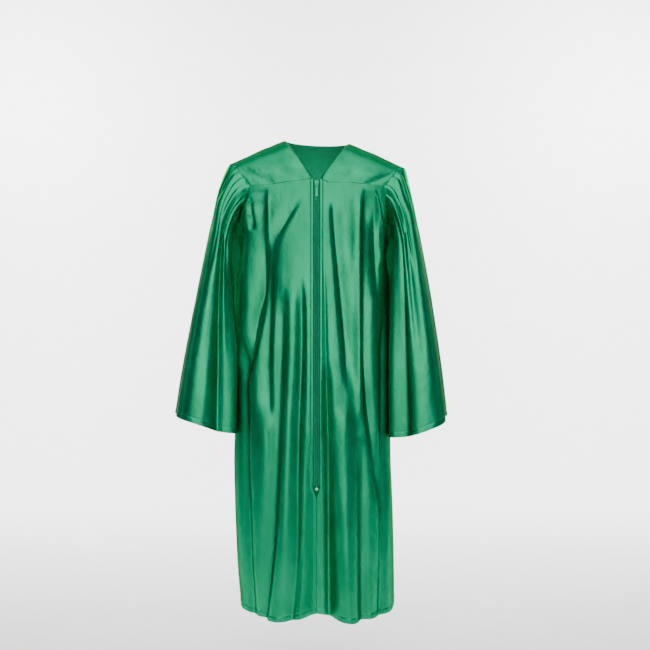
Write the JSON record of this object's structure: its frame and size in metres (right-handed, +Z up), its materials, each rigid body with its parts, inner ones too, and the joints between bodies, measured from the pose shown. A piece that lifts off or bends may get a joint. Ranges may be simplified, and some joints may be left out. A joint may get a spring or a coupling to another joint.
{
  "type": "graduation gown",
  "caption": "Full-length satin graduation gown, open V neck, yoked shoulders, full front zip and bell sleeves, filled out as worn.",
  "frame": {"origin": "middle of the neck opening at shoulder level, where the wearer holds the gown up", "axes": "+Z up along the gown, +X towards the wearer's left, -Y the way the wearer faces"},
  "size_m": [0.7626, 0.3371, 1.3065],
  "materials": {
    "satin": "shiny satin weave, emerald green",
    "zip_tape": "woven tape, matt green",
    "zip_teeth": "green moulded coil",
    "zip_metal": "green enamel",
    "zip_stop": "pale mint enamel"
  },
  "bodies": {
    "gown": {"yoke_front_right": "satin", "yoke_front_left": "satin", "yoke_back": "satin", "front_panel_right": "satin", "front_panel_left": "satin", "back_panel": "satin", "sleeve_right": "satin", "sleeve_left": "satin", "zip_tape_right": "zip_tape", "zip_tape_left": "zip_tape", "zip_chain": "zip_teeth", "zip_slider": "zip_metal", "zip_bottom_stop": "zip_stop"},
    "pull": {"zip_pull": "zip_metal"}
  },
  "joints": [
    {"name": "pull_hinge", "type": "hinge", "parent": "gown", "child": "pull", "pos_m": [0, -0.10749, -0.13166], "axis": [-1, 0, 0], "range_deg": [0, 150]}
  ]
}
